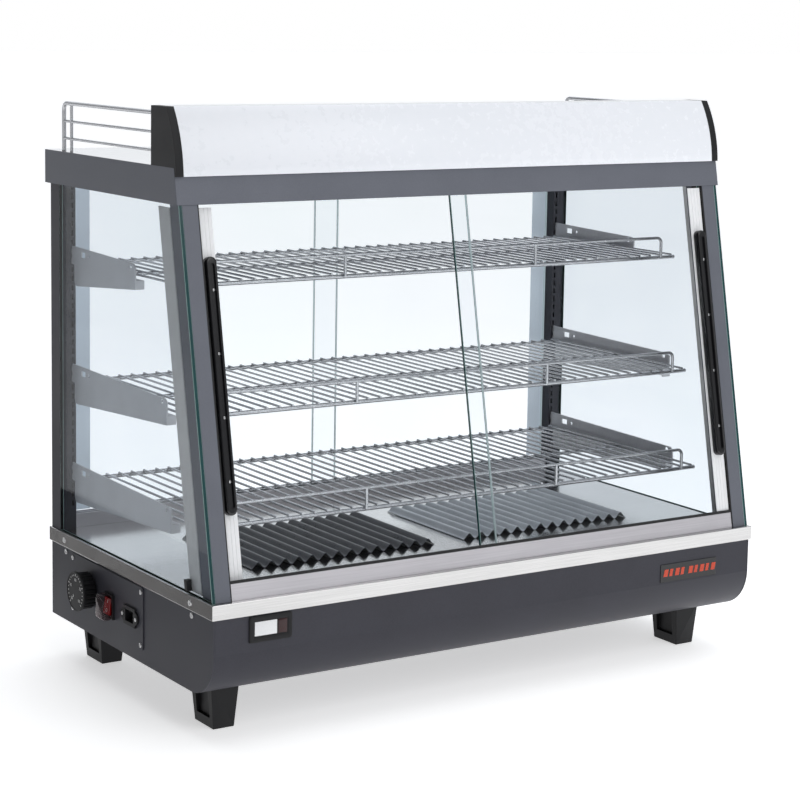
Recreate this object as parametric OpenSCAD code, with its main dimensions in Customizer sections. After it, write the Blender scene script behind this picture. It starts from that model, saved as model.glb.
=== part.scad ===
// Countertop hot food display case: heated base, slanted front with sliding
// glass doors, three wire shelves, canopy with a lit hood and side gallery rails.
// X runs along the width, Y from the front to the rear, Z up from the table.

/* [Overall] */
// Width over the stainless deck
case_w = 900; // [700:10:1200]
// Depth of the stainless deck
case_d = 500; // [500:5:560]
// Height of the feet
foot_h = 62; // [40:1:90]
// Height of the base box
base_h = 108; // [104:1:140]
// Height of the stainless deck band
band_h = 20; // [16:1:30]
// Height of the glazed zone, from the deck to the lower edge of the canopy
glass_h = 497; // [490:1:620]
// Height of the canopy
canopy_h = 47; // [44:1:60]
// Height of the hood above the canopy
hood_h = 77; // [70:1:90]
// How far the canopy stands out behind the deck
canopy_over = 10; // [0:1:20]
// Sheet metal thickness
sheet = 2; // [1.5:0.5:3]

/* [Base] */
// How far the base panels stand in from the deck band
base_inset = 3; // [2:0.5:5]
// Radius of the rolled front corner of the base
base_roll = 60; // [40:1:70]
// Bottom of a foot, across the case
foot_w = 31; // [20:1:40]
// Bottom of a foot, along the depth
foot_l = 52; // [40:1:60]

/* [Glazing] */
// Lean of the front, in millimetres back per millimetre up
lean = 0.1935; // [0.1:0.0005:0.2]
// Distance from the deck's front edge to the foot of the slanted front
front_foot_y = 7; // [5:0.5:12]
// Glass thickness
glass_t = 5; // [4:0.5:6]
// Width of a front post's face
front_post_w = 22; // [18:1:28]
// Depth of a front post along the case
front_post_d = 32; // [26:1:40]
// Width of a rear post
rear_post_w = 25; // [20:1:30]
// Depth of a rear post
rear_post_d = 29; // [24:1:34]
// Length of a door handle
handle_len = 332; // [200:1:400]
// Width of a door handle
handle_w = 18; // [14:1:24]
// Travel of a sliding door
door_travel = 365; // [200:1:365]

/* [Shelves] */
// Heights of the shelf wires' top faces: bottom, middle and top shelf
shelf_z = [268, 411, 580]; // [200:1:600]
// Distance from the deck's front edge to each shelf's front wire
shelf_front_y = [104, 132, 167]; // [100:1:200]
// Distance to where each shelf's bracket starts
bracket_front_y = [158, 172, 266]; // [150:1:300]
// Half the width of a shelf
shelf_half = 424; // [400:1:424]
// Number of cross wires in a shelf
cross_wires = 43; // [20:1:60]
// Diameter of a cross wire
cross_d = 3.4; // [2.5:0.1:5]
// Diameter of a shelf's long wires
long_d = 5; // [4:0.1:7]
// Diameter of a shelf's front and rear wires
edge_d = 6; // [5:0.1:8]
// Height of the front rail above the shelf
rail_h = 27; // [20:1:40]

/* [Controls] */
// Diameter of the thermostat knob
knob_d = 56; // [36:1:60]
// How far the knob's face stands out from the deck band
knob_out = 22; // [20:1:26]
// Angle between the two settings of the power rocker
rocker_throw = 18; // [10:1:24]

/* [Hidden] */
$fn = 48;
e = 0.01;
slip = 0.3;

// heights
base_z = foot_h;
band_z = base_z + base_h;
deck_z = band_z + band_h;
canopy_z = deck_z + glass_h;
roof_z = canopy_z + canopy_h;
top_z = roof_z + hood_h;
ceiling_z = canopy_z + 18;

// half widths and depths, in the frame whose Y starts at the deck's front edge
half_w = case_w / 2;
side_x = half_w - base_inset;
panel_front = base_inset;
panel_rear = case_d - base_inset;
canopy_rear = case_d + canopy_over;
glass_x = side_x;
post_x = glass_x - glass_t;
post_in = post_x - front_post_w;
rear_in = side_x - rear_post_w;
rear_post_y = panel_rear - rear_post_d;
knob_x = half_w + knob_out;
screw_head = 1.5;

// the whole object's box is centred on the origin
frame_x = (knob_x - half_w - screw_head) / 2;
frame_y = -canopy_rear / 2;

// slanted front: angle, foot height and places along it
tilt = atan(lean);
slope_z = deck_z + 1;
function front_y(z, n = 0) = front_foot_y + lean * (z - slope_z) + n / cos(tilt);
function along(z, n = 0) = (z - slope_z + n * sin(tilt)) / cos(tilt);

// door tracks: three walls and two grooves, from the outer face inwards
wall_t = 2;
groove_t = 7;
track_n = 1;
track_d = 3 * wall_t + 2 * groove_t;
outer_n = track_n + wall_t + (groove_t - glass_t) / 2;
inner_n = outer_n + wall_t + groove_t;
track_half = post_in - 2;
door_low = 8;
door_top = along(canopy_z + 9);
front_lap = 28;
inner_lap = 6;
stile_w = 17;

// rear doors and their tracks
rear_track_y = panel_rear - 25;
rear_outer_y = rear_track_y + wall_t + (groove_t - glass_t) / 2;
rear_step = wall_t + groove_t;
rear_half = rear_in - slip;
rear_lap = 18;
rear_low = deck_z + 5;
rear_top = canopy_z + 9;
rear_stile_w = 26;

// canopy's slanted front
canopy_n = -1.5;

// hood: a round front through two points of its side view
hood_rear_y = 175;
hood_top_y = 133;
hood_lip = 11;
hood_low_y = front_y(roof_z - hood_lip, canopy_n) - 4;
hood_r = 170;
hood_cap = 11;
hood_skin = 2.5;
chord_y = hood_top_y - hood_low_y;
chord_z = hood_h + hood_lip;
chord = sqrt(chord_y * chord_y + chord_z * chord_z);
chord_rise = sqrt(hood_r * hood_r - chord * chord / 4);
hood_cy = (hood_top_y + hood_low_y) / 2 + chord_rise * chord_z / chord;
hood_cz = roof_z - hood_lip + chord_z / 2 - chord_rise * chord_y / chord;
lamp_y = 148;
lamp_z = roof_z + 32;
lamp_d = 26;
holder_l = 9;

// gallery rails
gallery_x = half_w - 10;
gallery_y = 466;
gallery_bend = 10;
gallery_zs = [roof_z + 18, roof_z + 42, roof_z + 67];
gallery_post_y = 441;

// controls on the left side: centres along the depth and heights
plate_y = [200, 428];
plate_z = [80, 167];
plate_t = 1.5;
thermo_y = 364;
thermo_z = 127;
shaft_d = 6;
bush_d = 11;
switch_y = 300;
switch_z = 119;
switch_cut = [24, 30];
inlet_y = 236;
inlet_z = 120;
inlet_cut = [28, 20];
plate_x = side_x + plate_t;

// display and badge on the front of the base
display_x = [-396, -334];
display_z = [134, 168];
badge_x = [280, 384];
badge_z = [125, 151];

// heater covers and elements
cover_x = [25, 320];
cover_y = [135, 335];
cover_waves = 14;
cover_amp = 8;
cover_t = 1.2;
cover_gap = 0.3;
element_z = 152;
element_d = 8;

// case screws on both sides
screw_ys = [62, 448];

charcoal = [0.22, 0.22, 0.25];
post_grey = [0.42, 0.43, 0.48];
stainless = [0.8, 0.8, 0.8];
aluminium = [0.7, 0.69, 0.71];
chrome = [0.6, 0.6, 0.62];
black = [0.08, 0.08, 0.09];
clear = [0.75, 0.88, 0.86, 0.35];

// ---------- shared shapes ----------

// a side view (Y, Z) drawn out along X from x0 to x1
module across(x0, x1) {
    translate([x0, 0, 0])
        rotate([90, 0, 90])
            linear_extrude(x1 - x0)
                children();
}

// a box between two corners
module block(a, b) {
    translate(a)
        cube(b - a);
}

// the frame of the slanted front: X as in the case, Y into the case, Z up the slope
module on_slope() {
    translate([0, front_foot_y, slope_z])
        rotate([-tilt, 0, 0])
            children();
}

// a wire along X, Y or Z, from its start point
module wire_x(p, len, d) {
    translate(p)
        rotate([0, 90, 0])
            cylinder(h = len, d = d);
}

module wire_y(p, len, d) {
    translate(p)
        rotate([-90, 0, 0])
            cylinder(h = len, d = d);
}

module wire_z(p, len, d) {
    translate(p)
        cylinder(h = len, d = d);
}

// a quarter bend of wire in the XY plane, centred on the origin, from +X to +Y
module wire_bend(r, d) {
    rotate_extrude(angle = 90)
        translate([r, 0])
            circle(d = d, $fn = 24);
}

// the second of each mirrored pair
module mirrored(side) {
    if (side < 0) {
        children();
    } else {
        mirror([1, 0, 0])
            children();
    }
}

// ---------- base ----------

// side view of the base with its rolled front corner, drawn in by t
module base_outline(t, top) {
    translate([panel_front + t, base_z + base_roll])
        square([panel_rear - panel_front - 2 * t, top - base_z - base_roll]);
    translate([panel_front + base_roll, base_z + t])
        square([panel_rear - panel_front - base_roll - t, base_roll - t + e]);
    translate([panel_front + base_roll, base_z + base_roll])
        intersection() {
            circle(r = base_roll - t, $fn = 96);
            translate([-base_roll, -base_roll])
                square([base_roll, base_roll + e]);
        }
}

front_return = panel_front + base_roll + 12;

module base_front_panel() {
    color(charcoal)
        difference() {
            across(-side_x + sheet, side_x - sheet)
                difference() {
                    base_outline(0, band_z);
                    base_outline(sheet, band_z + 1);
                    translate([front_return, 0])
                        square([case_d, band_z + 2]);
                }
            block([display_x[0] + 4, 0, display_z[0] + 4], [display_x[1] - 4, panel_front + 3, display_z[1] - 4]);
        }
}

// a base side panel, without its openings
module base_side_panel() {
    across(-side_x, -side_x + sheet)
        base_outline(0, band_z);
}

// openings for the thermostat, the switch and the power inlet
module control_cuts() {
    wire_x([-plate_x - 1, thermo_y, thermo_z], 8, bush_d + 0.6);
    translate([-plate_x - 1, switch_y - switch_cut[0] / 2, switch_z - switch_cut[1] / 2])
        cube([8, switch_cut[0], switch_cut[1]]);
    translate([-plate_x - 1, inlet_y - inlet_cut[0] / 2, inlet_z - inlet_cut[1] / 2])
        cube([8, inlet_cut[0], inlet_cut[1]]);
}

module base_left_panel() {
    color(charcoal)
        difference() {
            base_side_panel();
            control_cuts();
        }
}

module base_right_panel() {
    color(charcoal)
        mirrored(1)
            base_side_panel();
}

vent_w = 4;
vent_h = 36;
vent_pitch = 12;
vent_count = 14;

module base_rear_panel() {
    color(charcoal)
        difference() {
            block([-side_x + sheet, panel_rear - sheet, base_z], [side_x - sheet, panel_rear, band_z]);
            for (group = [-230, 230], i = [0:vent_count - 1])
                translate([group + (i - (vent_count - 1) / 2) * vent_pitch - vent_w / 2, panel_rear - sheet - 1, base_z + 40])
                    cube([vent_w, sheet + 2, vent_h]);
        }
}

module base_bottom_plate() {
    color(charcoal)
        block([-side_x + sheet, front_return, base_z], [side_x - sheet, panel_rear - sheet, base_z + sheet]);
}

foot_top_w = 42;
foot_top_l = 60;
foot_x = 392;
foot_ys = [102, 439];
pocket = 6;

// a moulded foot that widens upwards, with a pocket in each side
module foot(x, y) {
    color(black)
        translate([x, y, 0])
            difference() {
                intersection() {
                    rotate([90, 0, 0])
                        linear_extrude(foot_top_l + 2, center = true)
                            polygon([[-foot_w / 2, 0], [foot_w / 2, 0], [foot_top_w / 2, foot_h], [-foot_top_w / 2, foot_h]]);
                    rotate([90, 0, 90])
                        linear_extrude(foot_top_w + 2, center = true)
                            polygon([[-foot_l / 2, 0], [foot_l / 2, 0], [foot_top_l / 2, foot_h], [-foot_top_l / 2, foot_h]]);
                }
                for (s = [-1, 1])
                    translate([s * foot_top_w / 2, 0, foot_h / 2 + 4])
                        cube([pocket * 2 + 6, foot_l - 16, foot_h - 20], center = true);
            }
}

// ---------- deck and heating ----------

slot_w = 5;
slot_l = 60;
slot_count = 10;
slot_pitch = 26;

module floor_deck() {
    color(stainless)
        difference() {
            block([-half_w, 0, band_z], [half_w, case_d, deck_z]);
            block([-half_w + 6, 6, band_z - 1], [half_w - 6, case_d - 6, deck_z - sheet]);
            for (s = [-1, 1], i = [0:slot_count - 1], row = [0, 1])
                translate([
                    s * (cover_x[0] + cover_x[1]) / 2 + (i - (slot_count - 1) / 2) * slot_pitch - slot_w / 2,
                    cover_y[0] + 30 + row * (slot_l + 20),
                    deck_z - sheet - 1
                ])
                    cube([slot_w, slot_l, sheet + 2]);
        }
}

element_run = 230;
element_span = 70;

// a tubular element bent into a U, hung from the deck on three stems
module heating_element(side) {
    mid_x = side * (cover_x[0] + cover_x[1]) / 2;
    mid_y = (cover_y[0] + cover_y[1]) / 2;
    x0 = mid_x - element_run / 2;
    translate([x0, mid_y, element_z]) {
        for (s = [-1, 1])
            wire_x([0, s * element_span / 2, 0], element_run - element_span / 2, element_d);
        translate([element_run - element_span / 2, 0, 0])
            rotate([0, 0, -90])
                rotate_extrude(angle = 180)
                    translate([element_span / 2, 0])
                        circle(d = element_d, $fn = 24);
        for (s = [-1, 1])
            wire_z([20, s * element_span / 2, 0], deck_z - sheet - element_z, 5);
    }
}

module heating_elements() {
    color(chrome)
        for (side = [-1, 1])
            heating_element(side);
}

module terminal_block() {
    color(black)
        difference() {
            block([-390, 180, base_z + sheet], [-330, 202, base_z + sheet + 20]);
            for (i = [0:3])
                wire_z([-382.5 + i * 15, 191, base_z + sheet + 12], 20, 5);
        }
}

// a corrugated sheet with its ribs from front to rear
function wave(i, steps) = cover_amp * (1 - cos(360 * cover_waves * i / steps)) / 2;
wave_steps = cover_waves * 8;
cover_w = cover_x[1] - cover_x[0];
cover_low = deck_z + cover_gap;

module heater_cover(side) {
    color(charcoal)
        translate([side < 0 ? -cover_x[1] : cover_x[0], cover_y[1], cover_low])
            rotate([90, 0, 0])
                linear_extrude(cover_y[1] - cover_y[0])
                    polygon(concat(
                        [for (i = [0:wave_steps]) [cover_w * i / wave_steps, wave(i, wave_steps)]],
                        [for (i = [wave_steps:-1:0]) [cover_w * i / wave_steps, wave(i, wave_steps) + cover_t]]
                    ));
}

// ---------- controls ----------

module control_plate() {
    r = 5;
    color(charcoal)
        difference() {
            across(-plate_x, -side_x) {
                translate([plate_y[0] + r, plate_z[0]])
                    square([plate_y[1] - plate_y[0] - 2 * r, plate_z[1] - plate_z[0]]);
                translate([plate_y[0], plate_z[0] + r])
                    square([plate_y[1] - plate_y[0], plate_z[1] - plate_z[0] - 2 * r]);
                for (y = [plate_y[0] + r, plate_y[1] - r], z = [plate_z[0] + r, plate_z[1] - r])
                    translate([y, z])
                        circle(r = r);
            }
            control_cuts();
        }
}

bush_x = half_w;

module thermostat_body() {
    color(black) {
        block([-side_x + sheet, thermo_y - 20, thermo_z - 20], [-side_x + sheet + 32, thermo_y + 20, thermo_z + 20]);
        wire_x([-bush_x, thermo_y, thermo_z], bush_x - side_x + sheet + e, bush_d);
        wire_x([-knob_x + 6, thermo_y, thermo_z], knob_x - 6 - bush_x + e, shaft_d);
    }
}

knob_face = 4;
flutes = 24;

// the knob: a dial face on a fluted grip, with a blind bore for the shaft
module thermostat_knob() {
    reach = knob_x - bush_x - 0.5;
    color(black)
        translate([-knob_x, thermo_y, thermo_z])
            rotate([0, 90, 0])
                difference() {
                    union() {
                        cylinder(h = knob_face, d = knob_d, $fn = 96);
                        translate([0, 0, 1])
                            cylinder(h = reach - 1, d = knob_d - 4, $fn = 96);
                    }
                    translate([0, 0, 5])
                        cylinder(h = reach, d = shaft_d + 0.12);
                    for (i = [0:flutes - 1])
                        rotate([0, 0, 360 * i / flutes])
                            translate([knob_d / 2 - 1, 0, knob_face + 1])
                                cylinder(h = reach, d = 4, $fn = 24);
                }
}

rocker_x = plate_x + 1;
rocker_w = 19;
rocker_l = 23;
rocker_t = 8;
pin_d = 3;

module power_switch_body() {
    color(black)
        difference() {
            union() {
                block([-plate_x - 3.5, switch_y - 14, switch_z - 17], [-plate_x, switch_y + 14, switch_z + 17]);
                block(
                    [-plate_x - e, switch_y - switch_cut[0] / 2 + slip, switch_z - switch_cut[1] / 2 + slip],
                    [-plate_x + 26, switch_y + switch_cut[0] / 2 - slip, switch_z + switch_cut[1] / 2 - slip]
                );
            }
            block(
                [-plate_x - 5, switch_y - rocker_w / 2 - slip, switch_z - rocker_l / 2 - 2],
                [-plate_x + 8, switch_y + rocker_w / 2 + slip, switch_z + rocker_l / 2 + 2]
            );
            wire_y([-rocker_x, switch_y - 11, switch_z], 22, pin_d + 0.1);
        }
}

// the rocker on its pin, tipped to the off setting
module power_rocker() {
    color("red")
        translate([-rocker_x, switch_y, switch_z]) {
            rotate([0, rocker_throw / 2, 0])
                translate([-rocker_t / 2, -rocker_w / 2, -rocker_l / 2])
                    cube([rocker_t, rocker_w, rocker_l]);
            wire_y([0, -10.8, 0], 21.6, pin_d);
        }
}

module power_inlet() {
    r = 9;
    color(black)
        difference() {
            union() {
                across(-plate_x - 3, -plate_x) {
                    for (s = [-1, 1])
                        translate([inlet_y + s * (25 - r), inlet_z])
                            circle(r = r);
                    translate([inlet_y - 17, inlet_z - 13])
                        square([34, 26]);
                }
                block(
                    [-plate_x - e, inlet_y - inlet_cut[0] / 2 + slip, inlet_z - inlet_cut[1] / 2 + slip],
                    [-plate_x + 24, inlet_y + inlet_cut[0] / 2 - slip, inlet_z + inlet_cut[1] / 2 - slip]
                );
            }
            block([-plate_x - 4, inlet_y - 12, inlet_z - 8], [-plate_x + 14, inlet_y + 12, inlet_z + 8]);
        }
    color(stainless)
        for (p = [[-7, -2], [0, 2], [7, -2]])
            block(
                [-plate_x + 6, inlet_y + p[0] - 1, inlet_z + p[1] - 2],
                [-plate_x + 14 + e, inlet_y + p[0] + 1, inlet_z + p[1] + 2]
            );
}

module thermometer_display() {
    color(black) {
        block([display_x[0], panel_front - 2, display_z[0]], [display_x[1], panel_front, display_z[1]]);
        block(
            [display_x[0] + 4 + slip, panel_front - e, display_z[0] + 4 + slip],
            [display_x[1] - 4 - slip, panel_front + 22, display_z[1] - 4 - slip]
        );
    }
}

module badge_plate() {
    color(black)
        block([badge_x[0], panel_front - 1.2, badge_z[0]], [badge_x[1], panel_front, badge_z[1]]);
}

// a pan-head screw whose head rests on the plane X = -x
module side_screw(x, y, z, d = 8) {
    wire_x([-x - screw_head, y, z], screw_head, d);
}

module case_screws() {
    color(stainless) {
        for (side = [-1, 1], y = screw_ys)
            mirrored(side) {
                side_screw(half_w, y, band_z + 10);
                side_screw(side_x, y, band_z - 7);
            }
        for (y = [plate_y[0] + 6, plate_y[1] - 6], z = [plate_z[0] + 7, plate_z[1] - 7])
            side_screw(plate_x, y, z, 7);
        for (x = [-1, 1] * (side_x - 12), z = [base_z + 12, band_z - 12])
            wire_y([x, panel_rear, z], screw_head, 8);
    }
}

// ---------- frame and glazing ----------

// a length of the slanted front, cut level at z0 and z1, from n0 to n1 behind its face
module slant_bar(x0, x1, n0, n1, z0, z1) {
    across(x0, x1)
        polygon([[front_y(z0, n0), z0], [front_y(z0, n1), z0], [front_y(z1, n1), z1], [front_y(z1, n0), z1]]);
}

clamp_gap = 5;
clamp_d = 30;

// a slanted post with the clamp strip of the side glass behind it
module front_post(side) {
    mirrored(side)
        color(post_grey) {
            slant_bar(-post_x, -post_in, 0, front_post_d, deck_z, ceiling_z);
            slant_bar(-post_x + 1.5, -post_in, front_post_d - e, front_post_d + clamp_gap, deck_z, ceiling_z);
            slant_bar(-post_x, -post_x + 3, front_post_d + clamp_gap - e, front_post_d + clamp_gap + clamp_d, deck_z + 2, canopy_z - 6);
        }
}

hook_pitch = 13;
hook_count = 36;
hook_slot_h = 8;
hook_low = shelf_low(0) - slip + 3 - 3 * hook_pitch;

// a rear post: a square tube with a ladder of hook slots in its front face
module rear_post(side) {
    mirrored(side)
        color(charcoal)
            difference() {
                block([-side_x, rear_post_y, deck_z], [-rear_in, panel_rear, ceiling_z]);
                block([-side_x + sheet, rear_post_y + sheet, deck_z - 1], [-rear_in - sheet, panel_rear - sheet, ceiling_z + 1]);
                for (i = [0:hook_count - 1])
                    translate([-bracket_x - bracket_t - 0.5, rear_post_y - 1, hook_low + i * hook_pitch])
                        cube([bracket_t + 1, sheet + 2, hook_slot_h]);
            }
}

module side_glass(side) {
    mirrored(side)
        color(clear)
            across(-glass_x, -post_x)
                polygon([
                    [front_y(deck_z), deck_z], [rear_post_y, deck_z],
                    [rear_post_y, ceiling_z], [front_y(ceiling_z), ceiling_z]
                ]);
}

// the lower front track: two grooves on a web that is cut level on the deck
module front_bottom_track() {
    color(aluminium)
        intersection() {
            on_slope()
                difference() {
                    block([-track_half, track_n, -4], [track_half, track_n + track_d, 22]);
                    for (n = [track_n + wall_t, track_n + 2 * wall_t + groove_t])
                        block([-track_half - 1, n, door_low - 1], [track_half + 1, n + groove_t, 23]);
                }
            block([-half_w, 0, deck_z], [half_w, 60, deck_z + 40]);
        }
}

// the upper front track, hidden behind the canopy's lower edge
module front_top_track() {
    color(aluminium)
        intersection() {
            on_slope()
                difference() {
                    block([-track_half, track_n, door_top - 5], [track_half, track_n + track_d, door_top + 40]);
                    for (n = [track_n + wall_t, track_n + 2 * wall_t + groove_t])
                        block([-track_half - 1, n, door_top - 6], [track_half + 1, n + groove_t, door_top + 2]);
                }
            block([-half_w, 0, canopy_z - 20], [half_w, 200, ceiling_z]);
        }
}

module rear_track(z0, z1, open_low) {
    color(aluminium)
        difference() {
            block([-rear_half, rear_track_y, z0], [rear_half, rear_track_y + track_d, z1]);
            for (i = [0, 1])
                translate([-rear_half - 1, rear_track_y + wall_t + i * rear_step, open_low ? z0 - 1 : rear_low - 1])
                    cube([2 * rear_half + 2, groove_t, open_low ? rear_top + 2 - z0 : z1]);
        }
}

// ---------- doors ----------

door_end = track_half - 1;

// a pane in the slanted front, from x0 to x1, with its outer face at depth n
module front_pane(x0, x1, n) {
    color(clear)
        on_slope()
            block([x0, n, door_low], [x1, n + glass_t, door_top]);
}

// the white edge strip that stands on the pane's outer face
module front_stile(x0, n) {
    color("white")
        on_slope()
            block([x0, n - 1, 24], [x0 + stile_w, n, door_top - 12]);
}

handle_low = 107;
handle_dep = 10;
handle_cx = door_end - 12;

// a finger pull with round ends and a groove down its middle
module front_handle(cx, n) {
    face = n - 1;
    color(black)
        on_slope()
            translate([cx, face, handle_low + handle_w / 2])
                rotate([90, 0, 0])
                    difference() {
                        union() {
                            translate([-handle_w / 2, 0, 0])
                                cube([handle_w, handle_len - handle_w, handle_dep]);
                            for (y = [0, handle_len - handle_w])
                                translate([0, y, 0])
                                    cylinder(h = handle_dep, d = handle_w);
                        }
                        translate([-2, 0, handle_dep - 3])
                            cube([6, handle_len - handle_w, 4]);
                    }
}

module front_left_door_glass() { front_pane(-door_end, inner_lap, inner_n); }
module front_left_door_stile() { front_stile(-door_end, inner_n); }
module front_left_door_handle() { front_handle(-handle_cx, inner_n); }
module front_right_door_glass() { front_pane(-front_lap, door_end, outer_n); }
module front_right_door_stile() { front_stile(door_end - stile_w, outer_n); }
module front_right_door_handle() { front_handle(handle_cx, outer_n); }

rear_end = rear_half - 1;

// a rear pane; step 0 is the inner groove and step 1 the outer one
module rear_pane(x0, x1, step) {
    color(clear)
        block(
            [x0, rear_outer_y + step * rear_step, rear_low],
            [x1, rear_outer_y + step * rear_step + glass_t, rear_top]
        );
}

// a rear door's aluminium pull strip on the rear face of its pane
module rear_stile(x0, step) {
    y = rear_outer_y + step * rear_step + glass_t;
    color(aluminium)
        block([x0, y, deck_z + 24], [x0 + rear_stile_w, y + 1, canopy_z - 2]);
}

module rear_left_door_glass() { rear_pane(-rear_end, rear_lap, 0); }
module rear_left_door_stile() { rear_stile(-rear_end, 0); }
module rear_right_door_glass() { rear_pane(-rear_lap, rear_end, 1); }
module rear_right_door_stile() { rear_stile(rear_end - rear_stile_w, 1); }

// ---------- canopy, hood and gallery ----------

// side view of the canopy, drawn in by t, with a small round at its top front
module canopy_outline(t, z0, z1) {
    polygon([
        [front_y(z0, canopy_n + t), z0], [canopy_rear - t, z0],
        [canopy_rear - t, z1], [front_y(z1, canopy_n + t), z1]
    ]);
}

canopy_skin = 1.2;

module canopy_shell() {
    color(charcoal)
        difference() {
            across(-half_w, half_w)
                canopy_outline(0, canopy_z, roof_z);
            across(-half_w + canopy_skin, half_w - canopy_skin)
                canopy_outline(canopy_skin, canopy_z - 1, ceiling_z);
            across(-half_w + canopy_skin, half_w - canopy_skin)
                canopy_outline(canopy_skin, ceiling_z + sheet, roof_z + 1);
        }
}

module roof_panel() {
    color(stainless)
        across(-half_w + canopy_skin + 0.2, half_w - canopy_skin - 0.2)
            canopy_outline(canopy_skin + 0.2, roof_z - sheet, roof_z);
}

// side view of the hood with its round front
module hood_outline() {
    intersection() {
        translate([hood_cy, hood_cz])
            circle(r = hood_r, $fn = 180);
        polygon([
            [hood_rear_y, roof_z], [hood_rear_y, top_z], [hood_low_y - 10, top_z],
            [hood_low_y - 10, roof_z - hood_lip], [front_y(roof_z - hood_lip, canopy_n - slip), roof_z - hood_lip],
            [front_y(roof_z, canopy_n - slip), roof_z]
        ]);
    }
}

module hood_cap_part(side) {
    mirrored(side)
        color(black) {
            across(-half_w, -half_w + hood_cap)
                hood_outline();
            wire_x([-half_w + hood_cap - e, lamp_y, lamp_z], holder_l, 30);
        }
}

module hood_sign_panel() {
    color("white")
        across(-half_w + hood_cap + 0.2, half_w - hood_cap - 0.2)
            difference() {
                hood_outline();
                translate([hood_cy, hood_cz])
                    circle(r = hood_r - hood_skin, $fn = 180);
            }
}

module hood_back_plate() {
    color("white")
        across(-half_w + hood_cap + 0.2, half_w - hood_cap - 0.2) {
            translate([hood_rear_y - sheet, roof_z])
                square([sheet, hood_h]);
            translate([hood_top_y + 3.5, top_z - sheet])
                square([hood_rear_y - hood_top_y - 3.5, sheet]);
        }
}

module hood_lamp_tube() {
    lamp_half = half_w - hood_cap - holder_l;
    color("white")
        wire_x([-lamp_half, lamp_y, lamp_z], 2 * lamp_half, lamp_d);
}

// one side rail of the roof: a bent top wire, two lower wires and a second post
module gallery(side) {
    run = gallery_y - hood_rear_y;
    mirrored(side)
        color(chrome)
            translate([-gallery_x, 0, 0]) {
                wire_y([0, hood_rear_y, gallery_zs[2]], run - gallery_bend, 6);
                translate([0, gallery_y - gallery_bend, gallery_zs[2] - gallery_bend])
                    rotate([0, -90, 0])
                        wire_bend(gallery_bend, 6);
                wire_z([0, gallery_y, roof_z], gallery_zs[2] - gallery_bend - roof_z, 6);
                wire_z([0, gallery_post_y, roof_z], gallery_zs[2] - roof_z, 4.5);
                for (i = [0, 1])
                    wire_y([0, hood_rear_y, gallery_zs[i]], run, 4);
            }
}

// ---------- shelves ----------

bracket_x = shelf_half + 2;
bracket_t = 2;
lip_w = 12;
lip_t = 2;

// the wires' levels in a shelf: cross wires on top, long wires below
function cross_z(i) = shelf_z[i] - cross_d / 2;
function long_z(i) = shelf_z[i] - cross_d - long_d / 2 + 0.5;
function shelf_low(i) = long_z(i) - edge_d / 2;

shelf_rear_y = 460;

// side view of a bracket plate: hooked to the post at the top, set off it below
module bracket_outline(i) {
    low = shelf_low(i) - slip;
    y0 = bracket_front_y[i];
    rear = rear_post_y - 0.5;
    difference() {
        polygon([
            [rear, low + 2], [rear, low + 28], [y0 + 6, low + 23], [y0, low + 19],
            [y0, low - 12], [rear - 16, low - 28], [rear - 10, low - 26], [rear - 8, low - 21], [rear - 8, low + 2]
        ]);
        translate([y0 + 14, low + 18])
            circle(d = 7, $fn = 24);
        translate([rear - 56, low + 18])
            circle(d = 5, $fn = 24);
        translate([rear - 44, low + 14])
            square([14, 8]);
    }
    for (z = [low + 4, low + 4 + hook_pitch])
        polygon([
            [rear - e, z], [rear_post_y + sheet + 0.5, z], [rear_post_y + sheet + 0.5, z - 3.5],
            [rear_post_y + sheet + 2.5, z - 3.5], [rear_post_y + sheet + 2.5, z + 6], [rear - e, z + 6]
        ]);
}

// one bracket plate with the lip that carries the shelf and a front flange
module bracket(i) {
    low = shelf_low(i) - slip;
    y0 = bracket_front_y[i];
    across(-bracket_x - bracket_t, -bracket_x)
        bracket_outline(i);
    block([-bracket_x - e, y0, low - lip_t], [-bracket_x + lip_w, rear_post_y - 24, low]);
    block([-bracket_x - e, y0, low - 12], [-bracket_x + lip_w, y0 + 2, low - lip_t + e]);
}

module shelf_brackets() {
    color(post_grey)
        for (side = [-1, 1], i = [0:2])
            mirrored(side)
                bracket(i);
}

long_wires = 1;

// a welded wire shelf
module shelf(i) {
    y0 = shelf_front_y[i];
    span = shelf_rear_y - y0;
    pitch = (2 * shelf_half - 12) / (cross_wires - 1);
    color(chrome) {
        for (j = [0:cross_wires - 1])
            wire_y([-shelf_half + 6 + j * pitch, y0, cross_z(i)], span, cross_d, $fn = 24);
        for (y = [y0 + 1, shelf_rear_y - 1])
            wire_x([-shelf_half, y, long_z(i)], 2 * shelf_half, edge_d);
        for (j = [1:long_wires])
            wire_x([-shelf_half, y0 + span * j / (long_wires + 1), long_z(i)], 2 * shelf_half, long_d);
    }
}

rail_half = 395;
rail_d = 4.5;
rail_post_x = 161;
rail_bend = 8;

// the guard rail along a shelf's front, with bent ends and two middle posts
module shelf_rail(i) {
    y = shelf_front_y[i] + 1 - (edge_d + rail_d) / 2 - 0.05;
    foot_z = cross_z(i) - 3;
    top = shelf_z[i] + rail_h - rail_d / 2;
    color(chrome)
        translate([0, y, 0]) {
            wire_x([-rail_half + rail_bend, 0, top], 2 * (rail_half - rail_bend), rail_d);
            for (s = [-1, 1])
                translate([s * (rail_half - rail_bend), 0, top - rail_bend])
                    rotate([90, 0, 0])
                        rotate([0, 0, s > 0 ? 0 : 90])
                            wire_bend(rail_bend, rail_d);
            for (x = [-1, 1] * rail_half)
                wire_z([x, 0, foot_z], top - rail_bend - foot_z, rail_d);
            for (x = [-1, 1] * rail_post_x)
                wire_z([x, 0, foot_z], top - foot_z, rail_d);
        }
}

// ---------- placing ----------

module place() {
    translate([frame_x, frame_y, 0])
        children();
}

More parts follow.
